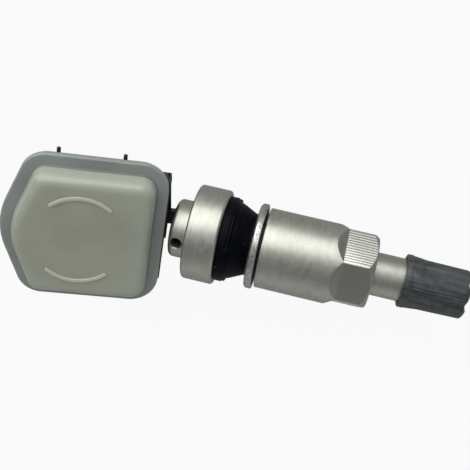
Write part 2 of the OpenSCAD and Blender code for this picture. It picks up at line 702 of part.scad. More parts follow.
module mounting_screw() color([0.70, 0.70, 0.72]) translate([screw_x, 0, tongue_z]) difference() {
    union() {
        cylinder(r = screw_r, h = screw_len, $fn = 32);
        translate([0, 0, lead - screw_head_t]) cylinder(r = screw_head_r, h = screw_head_t - lead, $fn = 48);
        translate([0, 0, -screw_head_t])
            cylinder(r1 = screw_head_r - lead, r2 = screw_head_r, h = lead, $fn = 48);
    }
    for (k = [0:2]) rotate([0, 0, 60 * k])
        translate([-socket_w / 2, -socket_w / 7, -screw_head_t - past])
            cube([socket_w, 2 * socket_w / 7, past + socket_deep]);
}

module circuit_board() color([0.10, 0.32, 0.16]) on_body()
    loft(belly_outline, [[board_z, pocket_in - belly_in + 0.1], [seam_z, pocket_in - belly_in + 0.1]]);

module battery() color([0.80, 0.80, 0.82]) on_body() translate([cell_at, 0, tab_z])
    rotate_extrude($fn = 96) polygon([
        [0, 0], [cell_r - 3 * lead, 0], [cell_r - 3 * lead + edge / 2, lead], [cell_r - 2 * lead, lead],
        [cell_r, 3 * lead], [cell_r, cell_t - 2 * edge], [cell_r - 2 * edge, cell_t], [0, cell_t]]);

module battery_tab_upper() color([0.75, 0.74, 0.68]) on_body() {
    leg_x = cell_at + cell_r + tab_t;
    translate([cell_at - tab_lap, -tab_w / 2, cell_top])
        cube([leg_x + tab_t - cell_at + tab_lap, tab_w, tab_t]);
    translate([leg_x, -tab_w / 2, seam_z]) cube([tab_t, tab_w, cell_top + tab_t - seam_z]);
}

module battery_tab_lower() color([0.75, 0.74, 0.68]) on_body()
    translate([cell_at - cell_r - tab_w / 3, -tab_w / 2, seam_z])
        cube([cell_r + 2 * tab_w / 3, tab_w, tab_t]);

module pressure_sensor() color([0.15, 0.15, 0.16]) on_body() translate([cell_at, 0, board_z - sensor_t]) {
    tower_t = 0.4 * sensor_t;
    translate([-sensor_w / 2, -sensor_w / 2, tower_t]) cube([sensor_w, sensor_w, sensor_t - tower_t]);
    difference() {
        cylinder(r = 0.42 * sensor_w, h = tower_t, $fn = 48);
        translate([0, 0, -past]) cylinder(r = port_r, h = past + tower_t / 2, $fn = 24);
    }
}

module port_seal() color([0.08, 0.08, 0.08]) on_body() translate([cell_at, 0, floor_z]) let (
    tall = board_z - sensor_t - floor_z,
    inner = port_r + 2 * slip)
    rotate_extrude($fn = 48) polygon([[inner, 0], [inner + 2 * port_r, 0],
        [inner + 1.5 * port_r, tall / 3], [inner + 1.5 * port_r, tall], [inner, tall]]);

module radio_chip() color([0.08, 0.08, 0.08]) on_body()
    translate([chip_x, -chip_w / 2, board_z - chip_t]) cube([chip_len, chip_w, chip_t]);

module crystal() color([0.78, 0.76, 0.66]) on_body()
    translate([chip_x, chip_w / 2 + part_gap, board_z - capacitor_w])
        cube([crystal_len, crystal_w, capacitor_w]);

module capacitors() color([0.72, 0.60, 0.45]) on_body() for (k = [0:3])
    translate([chip_x + capacitor_step * k, -chip_w / 2 - part_gap - capacitor_len, board_z - capacitor_w])
        cube([capacitor_w, capacitor_len, capacitor_w]);

module lf_coil() color([0.45, 0.24, 0.12]) on_body()
    translate([cell_at + cell_r + 2 * tab_t + coil_gap, 0, seam_z]) {
        coil_h = coil_w + lead;
        for (end = [-1, 1]) translate([0, end * coil_len / 2 - (end + 1) * coil_end / 2, 0])
            cube([coil_w, coil_end, coil_h]);
        translate([coil_w / 2, coil_len / 2 - coil_end + slip, coil_h / 2]) rotate([90, 0, 0])
            cylinder(r = coil_w / 2 - 2 * slip, h = coil_len - 2 * coil_end + 2 * slip, $fn = 32);
    }

// Wire loop under the board, between two soldered legs
module antenna() color([0.75, 0.48, 0.25]) on_body() {
    loop_x = -case_len + belly_in + case_wall + aerial_back;
    loop_z = board_z - aerial_drop;
    for (end = [-1, 1]) translate([loop_x, end * aerial_len / 2, loop_z]) {
        cylinder(r = aerial_r, h = aerial_drop, $fn = 20);
        sphere(r = aerial_r, $fn = 20);
    }
    translate([loop_x, aerial_len / 2, loop_z]) rotate([90, 0, 0])
        cylinder(r = aerial_r, h = aerial_len, $fn = 20);
}

valve_stem();
grommet();
washer();
nut();
cap();
cap_seal();
core_body();
core_gasket();
core_pin();
core_spring();
core_cup();
cup_seal();
housing();
cover();
cover_seal();
mounting_screw();
circuit_board();
battery();
battery_tab_upper();
battery_tab_lower();
pressure_sensor();
port_seal();
radio_chip();
crystal();
capacitors();
lf_coil();
antenna();
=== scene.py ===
import bmesh
import bpy
import json
import math
from mathutils import Matrix, Vector


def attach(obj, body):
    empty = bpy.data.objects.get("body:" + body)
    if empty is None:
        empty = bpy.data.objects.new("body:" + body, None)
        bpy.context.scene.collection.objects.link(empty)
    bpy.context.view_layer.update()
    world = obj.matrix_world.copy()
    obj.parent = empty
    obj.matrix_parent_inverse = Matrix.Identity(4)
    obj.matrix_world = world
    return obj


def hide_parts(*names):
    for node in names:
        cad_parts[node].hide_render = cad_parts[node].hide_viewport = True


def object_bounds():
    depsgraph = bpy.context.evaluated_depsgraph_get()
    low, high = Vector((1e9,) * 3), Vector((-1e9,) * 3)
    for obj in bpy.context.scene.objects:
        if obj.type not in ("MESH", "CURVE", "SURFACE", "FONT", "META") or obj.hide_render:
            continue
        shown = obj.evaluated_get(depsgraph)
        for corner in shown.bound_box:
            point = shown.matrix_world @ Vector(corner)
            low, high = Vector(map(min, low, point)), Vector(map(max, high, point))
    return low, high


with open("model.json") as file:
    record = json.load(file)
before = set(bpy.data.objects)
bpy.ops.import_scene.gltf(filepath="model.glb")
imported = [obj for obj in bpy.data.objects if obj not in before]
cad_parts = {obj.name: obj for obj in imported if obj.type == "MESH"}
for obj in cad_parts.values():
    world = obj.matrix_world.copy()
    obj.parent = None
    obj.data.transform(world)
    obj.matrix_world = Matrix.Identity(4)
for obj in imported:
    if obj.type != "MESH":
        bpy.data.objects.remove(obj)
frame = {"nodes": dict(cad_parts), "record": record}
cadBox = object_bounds()
mm = 0.001
print("frame loaded")

# the case is tilted against the valve: its own x, y and z start in the middle of its front, on its flange
case = {"width": 27.6, "length": 28.5, "lean": 21.5, "frontR": 5.0, "backR": 4.6, "noseR": 13.0,
        "tilt": 16.0, "bodyX": -9.98745, "bodyZ": 5.20583, "cellX": -14.7,
        "seam": -1.2, "rimBottom": -2.4, "rimIn": 0.45}
tilt = math.radians(case["tilt"])


def onCase(x, y, z):  # from the case's own axes to the valve's
    return (case["bodyX"] + x * math.cos(tilt) + z * math.sin(tilt), y,
            case["bodyZ"] - x * math.sin(tilt) + z * math.cos(tilt))


# shader maths: an output socket that can be added, multiplied and so on
class Wire:
    def __init__(self, shader, socket):
        self.shader = shader
        self.socket = socket

    def maths(self, operation, first, second):
        return self.shader.node("ShaderNodeMath", {"operation": operation}, {0: first, 1: second})

    def __add__(self, other):
        return self.maths("ADD", self, other)

    def __radd__(self, other):
        return self.maths("ADD", other, self)

    def __sub__(self, other):
        return self.maths("SUBTRACT", self, other)

    def __rsub__(self, other):
        return self.maths("SUBTRACT", other, self)

    def __mul__(self, other):
        return self.maths("MULTIPLY", self, other)

    def __rmul__(self, other):
        return self.maths("MULTIPLY", other, self)

    def __pow__(self, other):
        return self.maths("POWER", self, other)

    def __rpow__(self, other):
        return self.maths("POWER", other, self)

    def between(self, low, high):  # 0 below low, 1 above high, smooth in between
        return self.shader.node("ShaderNodeMapRange", {"interpolation_type": "SMOOTHSTEP"},
                                {"Value": self, "From Min": low, "From Max": high})

    def stretched(self, x, y, z):  # a vector scaled along each axis
        return self.shader.node("ShaderNodeVectorMath", {"operation": "MULTIPLY"}, {0: self, 1: (x, y, z)})


class Shader:
    def __init__(self, tree):
        self.tree = tree
        tree.nodes.clear()

    def node(self, kind, settings, inputs, output=0):
        made = self.tree.nodes.new(kind)
        for key, value in settings.items():
            setattr(made, key, value)
        for key, value in inputs.items():
            socket = made.inputs[key]
            if isinstance(value, Wire):
                self.tree.links.new(value.socket, socket)
            elif socket.type == "RGBA":
                socket.default_value = (*value, 1.0)
            else:
                socket.default_value = value
        return Wire(self, made.outputs[output]) if made.outputs else None

    def place(self):
        return self.node("ShaderNodeTexCoord", {}, {}, "Object")

    def noise(self, where, scale, detail=3.0, rough=0.5):
        return self.node("ShaderNodeTexNoise", {},
                         {"Vector": where, "Scale": scale, "Detail": detail, "Roughness": rough})

    def mixed(self, share, low, high):  # two colours, which are the Mix node's sockets 6 and 7
        return self.node("ShaderNodeMix", {"data_type": "RGBA"}, {0: share, 6: low, 7: high}, 2)

    def bump(self, height, strength, distance):
        return self.node("ShaderNodeBump", {},
                         {"Height": height, "Strength": strength, "Distance": distance * mm})


def makeMaterial(name, finish, metal=0.0, extras=None):
    material = bpy.data.materials.new(name)
    material.use_nodes = True
    shader = Shader(material.node_tree)
    inputs = {"Metallic": metal, **(extras or {}), **finish(shader, shader.place())}
    surface = shader.node("ShaderNodeBsdfPrincipled", {}, inputs)
    shader.node("ShaderNodeOutputMaterial", {}, {"Surface": surface})
    return material


def satinMetal(low, high):  # blasted skin over fine turning marks
    def finish(shader, where):
        blotch = shader.noise(where.stretched(1300, 520, 520), 1.0, 4, 0.6)
        grain = shader.noise(where, 3400, 3, 0.7)
        rings = shader.noise(where.stretched(9000, 60, 60), 1.0, 2)
        tone = (blotch * 0.6 + grain * 0.4).between(0.3, 0.7)
        return {"Base Color": shader.mixed(tone, low, high),
                "Roughness": blotch * 0.1 + grain * 0.1 + 0.31,
                "Normal": shader.bump(grain * 0.5 + blotch * 0.3 + rings * 0.2, 0.45, 0.02)}
    return finish


def milledMetalPaintedShade(shader, where):  # lengthwise cutter lines, squared to the nut's flats, with painted shade holding the flats facing +z and -z at one dark tone
    streak = shader.noise(where.stretched(110, 2300, 2300), 1.0, 3, 0.6)
    square = shader.node("ShaderNodeVectorRotate", {"rotation_type": "X_AXIS"},
                         {"Vector": where, "Angle": math.radians(nut["turn"])})
    # painted shade: the phase offset puts the wave's darkest band across the whole flat facing +z, so that
    # flat is dark all over
    cutLinesAndFlatShade = shader.node("ShaderNodeTexWave", {"bands_direction": "Z"},
                        {"Vector": square, "Scale": 660, "Distortion": 1.6, "Detail": 1.0,
                         "Detail Scale": 0.2, "Phase Offset": 2.825})
    marksAndFlatShade = (streak * 0.3 + cutLinesAndFlatShade * 0.7).between(0.2, 0.65)
    return {"Base Color": shader.mixed(marksAndFlatShade, (0.31, 0.315, 0.285), (0.92, 0.925, 0.855)),
            "Roughness": 0.42 - marksAndFlatShade * 0.03,
            "Normal": shader.bump(marksAndFlatShade, 0.5, 0.02)}


def washerMetal(shader, where):  # bright pressed steel with a coarse grain
    grain = shader.noise(where, 3600, 4, 0.75)
    pits = (shader.noise(where, 1500, 3) * 0.5 + grain * 0.5).between(0.36, 0.56)
    return {"Base Color": shader.mixed(pits, (0.22, 0.22, 0.21), (0.50, 0.50, 0.475)),
            "Roughness": 0.42 - pits * 0.12 + grain * 0.1,
            "Normal": shader.bump(grain * 0.6 + pits * 0.4, 0.7, 0.03)}


def grommetRubber(shader, where):  # near black, with a few damp spots that gleam
    cloud = shader.noise(where, 420, 4)
    fine = shader.noise(where, 4200, 2)
    damp = shader.noise(where, 900, 3, 0.6).between(0.64, 0.70)
    return {"Base Color": shader.mixed(cloud, (0.0004, 0.0008, 0.0022), (0.0012, 0.0018, 0.005)),
            "Roughness": cloud * 0.3 + 0.3, "Specular IOR Level": 0.07,
            "Coat Weight": damp * 0.6, "Coat Roughness": 0.1,
            "Normal": shader.bump(cloud * 0.6 + fine * 0.4, 0.3, 0.03)}


def capPlastic(shader, where):  # slate plastic, faintly drawn along its ribs
    streak = shader.noise(where.stretched(110, 1900, 1900), 1.0, 4, 0.6)
    cloud = shader.noise(where, 700, 3)
    tone = streak * 0.65 + cloud * 0.35
    share = tone.between(0.36, 0.64)
    return {"Base Color": shader.mixed(share, (0.018, 0.022, 0.026), (0.060, 0.067, 0.069)),
            "Roughness": tone * 0.25 + 0.27,
            "Normal": shader.bump(streak * 0.7 + cloud * 0.3, 0.4, 0.04)}


def coverPlastic(shader, where):  # translucent grey-green moulding, cloudy within, with painted light on its sides and painted shade at the plateau's foot
    cloud = shader.noise(where, 90, 4, 0.55)
    fine = shader.noise(where, 2600, 3)
    cellSpot = tuple(place * mm for place in onCase(case["cellX"], 0, 0))
    caseUp = (math.sin(tilt), 0.0, math.cos(tilt))
    offset = shader.node("ShaderNodeVectorMath", {"operation": "SUBTRACT"}, {0: where, 1: cellSpot})
    level = shader.node("ShaderNodeVectorMath", {"operation": "DOT_PRODUCT"},
                        {0: offset, 1: caseUp}, "Value")
    away = shader.node("ShaderNodeVectorMath", {"operation": "LENGTH"}, {0: offset}, "Value")
    reach = (away * away - level * level) ** 0.5  # from the cell's middle, at right angles to caseUp
    # painted light: the plateau's sides and outer band are paler, standing in for light through the thin
    # wall and light on the sides
    paintedWallLight = reach.between(7.0 * mm, 13.5 * mm) * 0.6 + (1 - level.between(2.4 * mm, 3.9 * mm)) * 0.4
    flange = 1 - (level + cloud * 0.6 * mm).between(0.4 * mm, 1.1 * mm)  # greyer than the plateau, and painted shade up the foot of the plateau's side
    # painted shade: a thin dark line in the crease at the plateau's foot
    crease = level.between(0.01 * mm, 0.05 * mm) * (1 - level.between(0.2 * mm, 0.6 * mm)) * 0.5
    pads = level.between(4.12 * mm, 4.2 * mm)  # the two arcs are the palest
    middleTone = shader.mixed(cloud.between(0.35, 0.65), (0.32, 0.33, 0.262), (0.36, 0.37, 0.298))
    flangeTone = shader.mixed(cloud, (0.19, 0.21, 0.20), (0.34, 0.37, 0.35))
    # painted light: the paler colour of the lit sides
    tone = shader.mixed(paintedWallLight, middleTone, (0.385, 0.425, 0.362))
    tone = shader.mixed(flange, tone, flangeTone)
    tone = shader.mixed(crease, tone, (0.07, 0.08, 0.065))
    return {"Base Color": shader.mixed(pads, tone, (0.50, 0.51, 0.445)),
            "Roughness": cloud * 0.12 + fine * 0.05 + 0.22,
            "Normal": shader.bump(fine * 0.6 + cloud * 0.4, 0.12, 0.02)}


def trayPlastic(shader, where):  # black with a fine eroded grain
    grain = shader.noise(where, 2400, 3, 0.7)
    cells = shader.node("ShaderNodeTexVoronoi", {"feature": "F1"}, {"Vector": where, "Scale": 2100})
    tone = grain * 0.6 + cells * 0.4
    share = tone.between(0.3, 0.8)
    return {"Base Color": shader.mixed(share, (0.008, 0.008, 0.009), (0.030, 0.030, 0.031)),
            "Roughness": 0.62 - grain * 0.25,
            "Normal": shader.bump(tone, 0.7, 0.04)}


def evenSkin(low, high):  # rubber, resin, ceramic and the nut collar's black painted shade, softly clouded
    def finish(shader, where):
        cloud = shader.noise(where, 800, 4)
        return {"Base Color": shader.mixed(cloud, low, high),
                "Roughness": cloud * 0.3 + 0.35,
                "Normal": shader.bump(cloud, 0.2, 0.02)}
    return finish


def grainedMetal(low, high, lengthwise=1.0):
    def finish(shader, where):
        grain = shader.noise(where.stretched(1500 * lengthwise, 1500, 1500), 1.0, 4, 0.65)
        return {"Base Color": shader.mixed(grain.between(0.3, 0.7), low, high),
                "Roughness": grain * 0.25 + 0.2,
                "Normal": shader.bump(grain, 0.3, 0.01)}
    return finish


def boardResist(shader, where):  # solder resist over routed copper
    weave = shader.noise(where, 1800, 3)
    tracks = shader.node("ShaderNodeTexVoronoi", {"distance": "MANHATTAN"}, {"Vector": where, "Scale": 620})
    trace = tracks.between(0.30, 0.36)
    return {"Base Color": shader.mixed(trace, (0.035, 0.16, 0.06), (0.015, 0.085, 0.032)),
            "Roughness": weave * 0.2 + 0.25,
            "Normal": shader.bump(1 - trace, 0.4, 0.03)}


def woundWire(shader, where):
    turns = shader.node("ShaderNodeTexWave", {"bands_direction": "Y"},
                        {"Vector": where, "Scale": 1600, "Distortion": 0.4})
    return {"Base Color": shader.mixed(turns, (0.12, 0.04, 0.015), (0.40, 0.17, 0.07)),
            "Roughness": 0.5 - turns * 0.2,
            "Normal": shader.bump(turns, 0.8, 0.06)}


nickel = satinMetal((0.355, 0.36, 0.322), (0.465, 0.47, 0.422))
finishes = {
    "stem_metal": makeMaterial("satinNickel", nickel, 1.0),
    "nut_metal": makeMaterial("satinNutNickel", nickel, 1.0),
    "washer_steel": makeMaterial("grainySteel", washerMetal, 1.0),
    "grommet_rubber": makeMaterial("navyRubber", grommetRubber),
    "cap_plastic": makeMaterial("slatePlastic", capPlastic),
    "seal_rubber": makeMaterial("redRubber", evenSkin((0.22, 0.02, 0.012), (0.34, 0.04, 0.02))),
    "black_rubber": makeMaterial("blackRubber", evenSkin((0.006, 0.006, 0.006), (0.02, 0.02, 0.02))),
    "brass": makeMaterial("turnedBrass", grainedMetal((0.52, 0.36, 0.13), (0.78, 0.58, 0.25), 6.0), 1.0),
    "spring_steel": makeMaterial("drawnSteel", grainedMetal((0.45, 0.45, 0.45), (0.7, 0.7, 0.7)), 1.0),
    "tray_plastic": makeMaterial("erodedBlack", trayPlastic),
    "cover_plastic": makeMaterial("cloudyCover", coverPlastic, 0.0, {
        "Subsurface Weight": 0.35, "Subsurface Radius": (1.2, 1.3, 1.0), "Subsurface Scale": mm,
        "IOR": 1.5, "Coat Weight": 0.3, "Coat Roughness": 0.1}),
    "screw_steel": makeMaterial("zincSteel", grainedMetal((0.5, 0.51, 0.5), (0.75, 0.76, 0.77)), 1.0),
    "board_laminate": makeMaterial("greenResist", boardResist),
    "cell_steel": makeMaterial("cellNickel", grainedMetal((0.6, 0.6, 0.6), (0.8, 0.8, 0.8), 4.0), 1.0),
    "tab_nickel": makeMaterial("rolledNickel", grainedMetal((0.5, 0.48, 0.42), (0.72, 0.7, 0.62)), 1.0),
    "chip_plastic": makeMaterial("chipResin", evenSkin((0.012, 0.012, 0.013), (0.03, 0.03, 0.032))),
    "ceramic": makeMaterial("sinteredCeramic", evenSkin((0.38, 0.24, 0.13), (0.52, 0.36, 0.22))),
    "coil_wire": makeMaterial("enamelledWire", woundWire),
    "aerial_copper": makeMaterial("bareCopper", grainedMetal((0.6, 0.27, 0.14), (0.85, 0.47, 0.3)), 1.0)}
print("materials made:", len(finishes))


# mesh helpers: sizes in millimetres, in the valve's frame
def soften(mesh, sharp=30):  # smooth faces, edges over the angle stay crisp
    work = bmesh.new()
    work.from_mesh(mesh)
    bmesh.ops.remove_doubles(work, verts=work.verts, dist=0.0005 * mm)
    bmesh.ops.dissolve_degenerate(work, edges=work.edges, dist=0.0002 * mm)
    bmesh.ops.recalc_face_normals(work, faces=work.faces)
    for face in work.faces:
        face.smooth = True
    for edge in work.edges:
        edge.smooth = edge.is_manifold and edge.calc_face_angle(0) < math.radians(sharp)
    work.to_mesh(mesh)
    work.free()


def bevelled(mesh, chosen, width, segments, **options):  # chosen picks the edges to round
    work = bmesh.new()
    work.from_mesh(mesh)
    edges = [edge for edge in work.edges if chosen(edge)]
    bmesh.ops.bevel(work, geom=edges, offset=width * mm, segments=segments, profile=0.5,
                    affect="EDGES", **options)
    work.to_mesh(mesh)
    work.free()


def makePiece(name, points, faces, sharp=30):
    mesh = bpy.data.meshes.new(name)
    mesh.from_pydata([(x * mm, y * mm, z * mm) for x, y, z in points], [], faces)
    mesh.update()
    soften(mesh, sharp)
    piece = bpy.data.objects.new(name, mesh)
    bpy.context.scene.collection.objects.link(piece)
    return piece


def filleted(corners, steps=5):  # (x, r) stays sharp, (x, r, radius) becomes an arc
    out = []
    for k, corner in enumerate(corners):
        if len(corner) == 2:
            out.append(corner)
            continue
        at = Vector(corner[:2])
        back = Vector(corners[k - 1][:2]) - at
        ahead = Vector(corners[(k + 1) % len(corners)][:2]) - at
        longest = min(back.length, ahead.length) * 0.48
        back.normalize()
        ahead.normalize()
        half = back.angle(ahead) / 2
        reach = min(corner[2] / math.tan(half), longest)
        centre = at + (back + ahead).normalized() * (reach / math.cos(half))
        first, last = at + back * reach - centre, at + ahead * reach - centre
        sweep = math.pi - 2 * half
        if first.x * last.y - first.y * last.x < 0:
            sweep = -sweep
        for j in range(steps + 1):
            spoke = Matrix.Rotation(sweep * j / steps, 2) @ first
            out.append((centre.x + spoke.x, centre.y + spoke.y))
    return out


def thread(start, end, root, crest, pitch, samples=10):  # right-handed ridge that fades in and out
    rootFlat, flank, fade = 0.12, 0.72, 0.7

    def radiusAt(x):
        weight = min(1.0, (x - start) / (fade * pitch), (end - x) / (fade * pitch))

        def radius(angle):
            phase = (x / pitch - angle / (2 * math.pi)) % 1.0
            ridge = min(1.0, max(0.0, (1 - abs(2 * phase - 1) - rootFlat) / flank))
            return root + (crest - root) * ridge * max(weight, 0.0)
        return radius
    count = int((end - start) / pitch * samples)
    places = [start + (end - start) * k / count for k in range(count + 1)]
    return [(x, radiusAt(x)) for x in places]


# a profile of x and r turned round the valve's axis, or round another one
def turned(name, profile, around=144, closed=False, sharp=30, first=0.0, axis=None):
    points, rings = [], []
    for x, r in profile:
        if r == 0:
            rings.append([len(points)])
            points.append((x, 0, 0))
            continue
        ring = []
        for k in range(around):
            angle = first + 2 * math.pi * k / around
            radius = r(angle) if callable(r) else r
            along, radius = radius if isinstance(radius, tuple) else (x, radius)
            ring.append(len(points))
            points.append((along, radius * math.cos(angle), radius * math.sin(angle)))
        rings.append(ring)
    faces = []
    for near, far in zip(rings, rings[1:] + (rings[:1] if closed else [])):
        for k in range(around):
            after = (k + 1) % around
            if len(near) == 1:
                faces.append((near[0], far[k], far[after]))
            elif len(far) == 1:
                faces.append((near[k], far[0], near[after]))
            else:
                faces.append((near[k], far[k], far[after], near[after]))
    if axis is not None:
        points = [tuple(axis @ Vector(point)) for point in points]
    return makePiece(name, points, faces, sharp)


def combine(piece, tool, operation="DIFFERENCE"):
    cut = piece.modifiers.new("cut", "BOOLEAN")
    cut.object = tool
    cut.operation = operation
    cut.solver = "EXACT"
    graph = bpy.context.evaluated_depsgraph_get()
    made = bpy.data.meshes.new_from_object(piece.evaluated_get(graph))
    piece.modifiers.clear()
    made.name = piece.data.name
    piece.data = made
    bpy.data.objects.remove(tool)


def join(piece, tool):
    combine(piece, tool, "UNION")


def extruded(name, outline, low, high):  # a side view in x and z, stretched along y
    count = len(outline)
    points = [(x, low, z) for x, z in outline] + [(x, high, z) for x, z in outline]
    faces = [tuple(range(count)), tuple(range(2 * count - 1, count - 1, -1))]
    faces += [(k, (k + 1) % count, count + (k + 1) % count, count + k) for k in range(count)]
    return makePiece(name, points, faces)


def box(name, low, high, soft=0.0):
    outline = [(low[0], low[2]), (high[0], low[2]), (high[0], high[2]), (low[0], high[2])]
    piece = extruded(name, outline, low[1], high[1])
    if soft:
        bevelled(piece.data, lambda edge: True, soft, 3)
    return piece


def upright(x, y, z):  # turned profiles then run upwards from this place
    return Matrix.Translation((x, y, z)) @ Matrix.Rotation(-math.pi / 2, 4, "Y")


dressedNodes = set()


def dress(piece, body, slotName, *nodes):
    piece.data.materials.clear()
    piece.data.materials.append(finishes[slotName])
    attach(piece, body)
    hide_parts(*nodes)
    dressedNodes.update(nodes)


# camera at the photograph's angle
camera = {"place": (15.4109, 67.6329, 125.5344), "right": (0.969206, 0.159818, -0.187346),
          "down": (0.227911, -0.870278, 0.436662), "ahead": (-0.093256, -0.465913, -0.879902),
          "focalPixels": 780.0, "picture": 470.0, "sensor": 36.0, "near": 0.005, "far": 20.0}
lens = bpy.data.cameras.new("photoCamera")
lens.sensor_width = camera["sensor"]
lens.lens = camera["sensor"] * camera["focalPixels"] / camera["picture"]
lens.clip_start = camera["near"]
lens.clip_end = camera["far"]
eye = bpy.data.objects.new("photoCamera", lens)
bpy.context.scene.collection.objects.link(eye)
up, behind = -Vector(camera["down"]), -Vector(camera["ahead"])
aim = Matrix((camera["right"], up, behind)).transposed()
eye.matrix_world = Matrix.Translation(Vector(camera["place"]) * mm) @ aim.to_4x4()
bpy.context.scene.camera = eye

# valve stem: foot, flange, tube with both threads, shank, air passage
stem = {"foot": -9.2, "footR": 5.4, "footRound": 0.9, "flange": -5.8, "flangeR": 8.8, "flangeRound": 0.5,
        "neckR": 4.2, "threadX": 5.9, "threadEnd": 18.1, "threadR": 4.55, "threadRoot": 4.16,
        "nutPitch": 0.75, "shankR": 3.93, "tipThreadX": 34.15, "tip": 42.35, "tipR": 3.8, "tipRoot": 3.4,
        "capPitch": 0.79375, "airR": 1.2, "chamber": 23.95, "chamberR": 1.9, "seatEnd": 35.95,
        "mouthR": 2.65, "flatDrop": 3.65, "flatEnd": -5.87, "holdX": -7.6, "holdLow": -0.6, "holdR": 1.0,
        "holdTurn": 5.0, "screwX": -7.85, "screwR": 1.02, "screwTop": -1.7, "screwDeep": 2.95}
stemSkin = filleted([
    (stem["foot"], 0), (stem["foot"], stem["footR"], stem["footRound"]),
    (stem["flange"], stem["footR"], 0.12), (stem["flange"], stem["flangeR"], stem["flangeRound"]),
    (0, stem["flangeR"], stem["flangeRound"]), (0, stem["neckR"]),
    (stem["threadX"] - 0.1, stem["neckR"])], 6)
stemSkin += [(stem["threadX"], stem["threadRoot"])]
stemSkin += thread(stem["threadX"] + 0.05, stem["threadEnd"] - 0.6,
                   stem["threadRoot"], stem["threadR"], stem["nutPitch"])
stemSkin += [(stem["threadEnd"] - 0.5, stem["threadRoot"])]
stemSkin += filleted([
    (stem["threadEnd"] - 0.3, stem["shankR"]), (stem["tipThreadX"] - 0.35, stem["shankR"], 0.1),
    (stem["tipThreadX"] + 0.1, stem["tipRoot"])], 3)
stemSkin += thread(stem["tipThreadX"] + 0.15, stem["tip"] - 0.35,
                   stem["tipRoot"], stem["tipR"], stem["capPitch"])
stemSkin += [(stem["tip"] - 0.3, stem["tipRoot"] + 0.1), (stem["tip"] - 0.06, stem["tipRoot"] - 0.05),
             (stem["tip"], stem["tipRoot"] - 0.12), (stem["tip"], stem["mouthR"] + 0.3),
             (stem["tip"] - 0.3, stem["mouthR"]), (stem["seatEnd"], stem["mouthR"]),
             (stem["seatEnd"] - 1.4, stem["chamberR"]), (stem["chamber"] + 0.7, stem["chamberR"]),
             (stem["chamber"], stem["airR"]), (stem["holdX"], stem["airR"]), (stem["holdX"], 0)]
valveStem = turned("valveStem", stemSkin, 160)
holdLean = Matrix.Rotation(math.radians(stem["holdTurn"]), 4, "X")
holdAxis = Matrix.Translation((stem["holdX"], 0, 0)) @ holdLean @ Matrix.Rotation(-math.pi / 2, 4, "Y")
# corners of the countersink: how high over the foot's skin, and how much wider than the hole
countersink = [(-0.32, 0), (-0.2, 0.04), (0.02, 0.26), (1.1, 1.34)]
holdSkin = [(stem["holdLow"], 0), (stem["holdLow"], stem["holdR"])]
holdSkin += [(stem["footR"] + rise, stem["holdR"] + wider) for rise, wider in countersink]
holdSkin += [(stem["footR"] + countersink[-1][0], 0)]
combine(valveStem, turned("crossHole", holdSkin, 64, axis=holdAxis))
clear = stem["footR"] + 1  # the cutter reaches past the foot on every side but two
combine(valveStem, box("underFlat", (stem["foot"] - 1, -clear, -clear),
                       (stem["flatEnd"], clear, -stem["flatDrop"])))
screwSkin = [(0, 0), (0, stem["screwR"]), (stem["screwDeep"], stem["screwR"]), (stem["screwDeep"], 0)]
screwAxis = upright(stem["screwX"], 0, stem["screwTop"] - stem["screwDeep"])
combine(valveStem, turned("screwHole", screwSkin, 48, axis=screwAxis))
soften(valveStem.data, 28)
dress(valveStem, "valve", "stem_metal", "valve_stem")
print("valve stem done")

# grommet: lip, narrow step, cone
grommet = {"length": 5.7, "lipR": 7.85, "lipEnd": 1.9, "coneR": 7.1, "coneEndR": 5.65, "boreR": 4.22}
grommetSkin = filleted([
    (0.0, grommet["boreR"]), (0.0, grommet["lipR"], 0.2), (grommet["lipEnd"] - 0.45, grommet["lipR"], 0.25),
    (grommet["lipEnd"] - 0.3, grommet["lipR"] - 0.2, 0.08),
    (grommet["lipEnd"] + 0.12, grommet["lipR"] - 0.15, 0.2),
    (grommet["lipEnd"] + 0.22, grommet["coneR"], 0.12),
    (grommet["lipEnd"] + 0.75, grommet["coneR"] - 0.14, 0.3),
    (grommet["length"] - 0.6, grommet["coneEndR"] + 0.12, 0.8),
    (grommet["length"], grommet["coneEndR"], 0.2),
    (grommet["length"], grommet["boreR"] + 0.3, 0.1), (grommet["length"] - 0.35, grommet["boreR"])], 6)
dress(turned("grommetRubber", grommetSkin, 144, True, 34), "valve", "grommet_rubber", "grommet")

# washer, with a slanted edge towards the grommet
washer = {"x": 5.7, "thick": 1.4, "r": 7.9, "bore": 4.8, "slantX": 0.34, "slantR": 0.42}
washerEnd = washer["x"] + washer["thick"]
washerSkin = filleted([
    (washer["x"], washer["bore"], 0.1), (washer["x"], washer["r"] - washer["slantR"], 0.2),
    (washer["x"] + washer["slantX"], washer["r"], 0.22), (washerEnd, washer["r"], 0.2),
    (washerEnd, washer["bore"], 0.1)], 5)
dress(turned("washerRing", washerSkin, 144, True, 34), "washer_ring", "washer_steel", "washer")
print("grommet and washer done")

